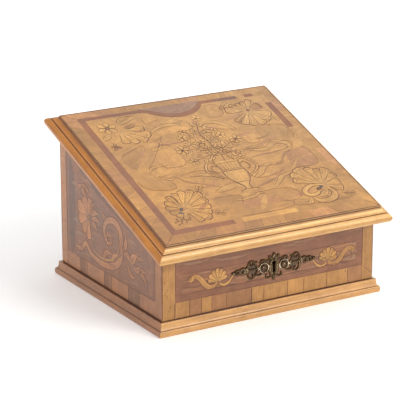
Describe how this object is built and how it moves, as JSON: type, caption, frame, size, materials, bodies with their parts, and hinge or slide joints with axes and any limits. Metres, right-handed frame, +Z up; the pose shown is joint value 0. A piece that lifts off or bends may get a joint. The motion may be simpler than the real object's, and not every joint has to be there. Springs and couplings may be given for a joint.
{
  "type": "writing slope box",
  "caption": "Sloping writing box with a back-hinged moulded lid, floral marquetry on lid and walls, a base moulding and a pierced brass keyhole plate.",
  "frame": {"origin": "middle of the carcase's footprint, on the underside of the bottom board", "axes": "+X along the front to the right, +Y from the front to the back, +Z up"},
  "size_m": [0.4384, 0.3891, 0.2791],
  "materials": {
    "marquetry": "satin shellac over walnut, fruitwood and maple veneers",
    "moulding": "waxed honey fruitwood, mellow with small knocks",
    "plain_wood": "dry planed carcase wood",
    "brass": "aged dark brass, bright on its high spots",
    "iron": "dull old iron"
  },
  "bodies": {
    "case": {"bottom_board": "plain_wood", "front_panel": "marquetry", "left_side_panel": "marquetry", "right_side_panel": "marquetry", "back_panel": "plain_wood", "base_moulding_front": "moulding", "base_moulding_back": "moulding", "base_moulding_left": "moulding", "base_moulding_right": "moulding", "escutcheon": "brass", "escutcheon_pin_1": "brass", "escutcheon_pin_2": "brass", "escutcheon_pin_3": "brass", "escutcheon_pin_4": "brass", "lock_case": "iron", "hinge_1_body_leaf": "brass", "hinge_1_pin": "brass", "hinge_2_body_leaf": "brass", "hinge_2_pin": "brass"},
    "lid": {"lid_board": "marquetry", "lid_moulding_front": "moulding", "lid_moulding_back": "moulding", "lid_moulding_left": "moulding", "lid_moulding_right": "moulding", "striking_plate": "iron", "hinge_1_lid_leaf": "brass", "hinge_2_lid_leaf": "brass"}
  },
  "joints": [
    {"name": "lid_hinge", "type": "hinge", "parent": "case", "child": "lid", "pos_m": [0, 0.1743, 0.25249], "axis": [-1, 0, 0], "range_deg": [0, 110]}
  ]
}
